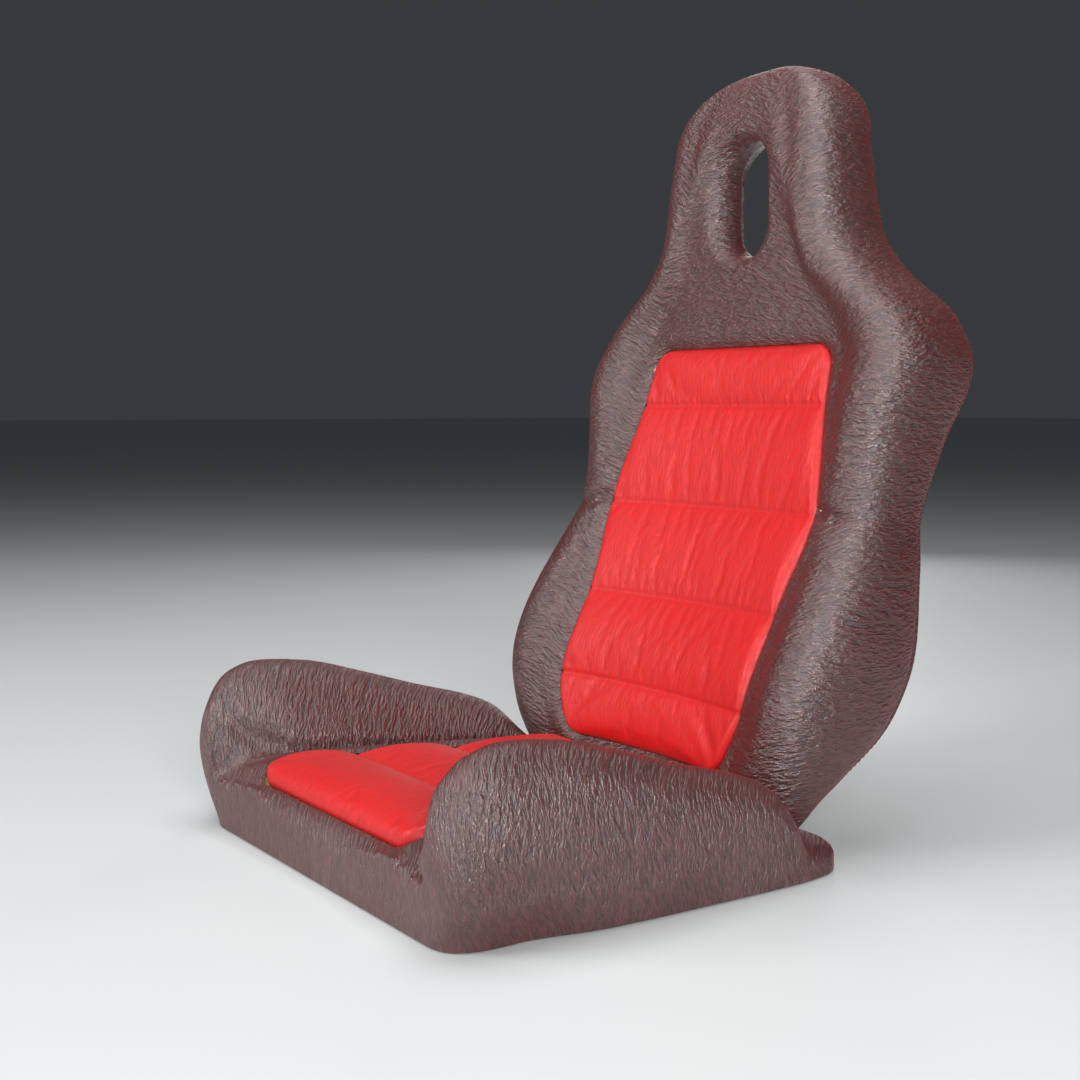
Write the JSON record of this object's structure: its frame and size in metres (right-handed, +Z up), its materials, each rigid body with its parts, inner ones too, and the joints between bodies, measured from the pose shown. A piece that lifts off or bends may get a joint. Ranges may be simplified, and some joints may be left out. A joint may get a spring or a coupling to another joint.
{
  "type": "racing seat",
  "caption": "One-piece bucket racing seat in dark leather with red channelled inserts, a harness hole through the head, tall back wings and raised thigh bolsters",
  "frame": {"origin": "on the ground, under the middle of the seat's bounding box", "axes": "+Z up, the sitter faces -Y, X runs left to right and the seat is symmetric about X = 0"},
  "size_m": [0.592, 0.7106, 0.8726],
  "materials": {
    "red_leather": "satin",
    "dark_leather": "satin",
    "foam": "matte",
    "painted_steel": "satin",
    "zinc_steel": "satin",
    "plywood": "matte",
    "webbing": "matte"
  },
  "bodies": {
    "root": {"back_insert_cover": "red_leather", "seat_insert_cover": "red_leather", "back_front_cover": "dark_leather", "back_rear_cover": "dark_leather", "harness_hole_liner": "dark_leather", "thigh_bolster_cover_right": "dark_leather", "thigh_bolster_cover_left": "dark_leather", "seat_surround_cover": "dark_leather", "rear_skirt_cover": "dark_leather", "back_foam": "foam", "back_bolster_foam_right": "foam", "back_bolster_foam_left": "foam", "head_foam": "foam", "rear_foam": "foam", "head_rear_foam": "foam", "seat_foam": "foam", "thigh_bolster_foam_right": "foam", "thigh_bolster_foam_left": "foam", "back_hoop": "painted_steel", "base_hoop": "painted_steel", "rear_cross_tube": "painted_steel", "lumbar_cross_tube": "painted_steel", "shoulder_cross_tube": "painted_steel", "hip_plate_right": "painted_steel", "hip_plate_left": "painted_steel", "rail_right": "painted_steel", "rail_left": "painted_steel", "back_listing_rod_1": "zinc_steel", "back_listing_rod_2": "zinc_steel", "back_listing_rod_3": "zinc_steel", "back_listing_rod_4": "zinc_steel", "seat_listing_rod_1": "zinc_steel", "seat_listing_rod_2": "zinc_steel", "rail_nut_1": "zinc_steel", "rail_nut_2": "zinc_steel", "rail_nut_3": "zinc_steel", "rail_nut_4": "zinc_steel", "board_screw_1": "zinc_steel", "board_screw_2": "zinc_steel", "board_screw_3": "zinc_steel", "board_screw_4": "zinc_steel", "board_screw_5": "zinc_steel", "board_screw_6": "zinc_steel", "base_board": "plywood", "back_web_1": "webbing", "back_web_2": "webbing", "back_web_3": "webbing", "back_web_4": "webbing", "seat_web_1": "webbing", "seat_web_2": "webbing", "seat_web_3": "webbing", "seat_web_4": "webbing"}
  },
  "joints": []
}
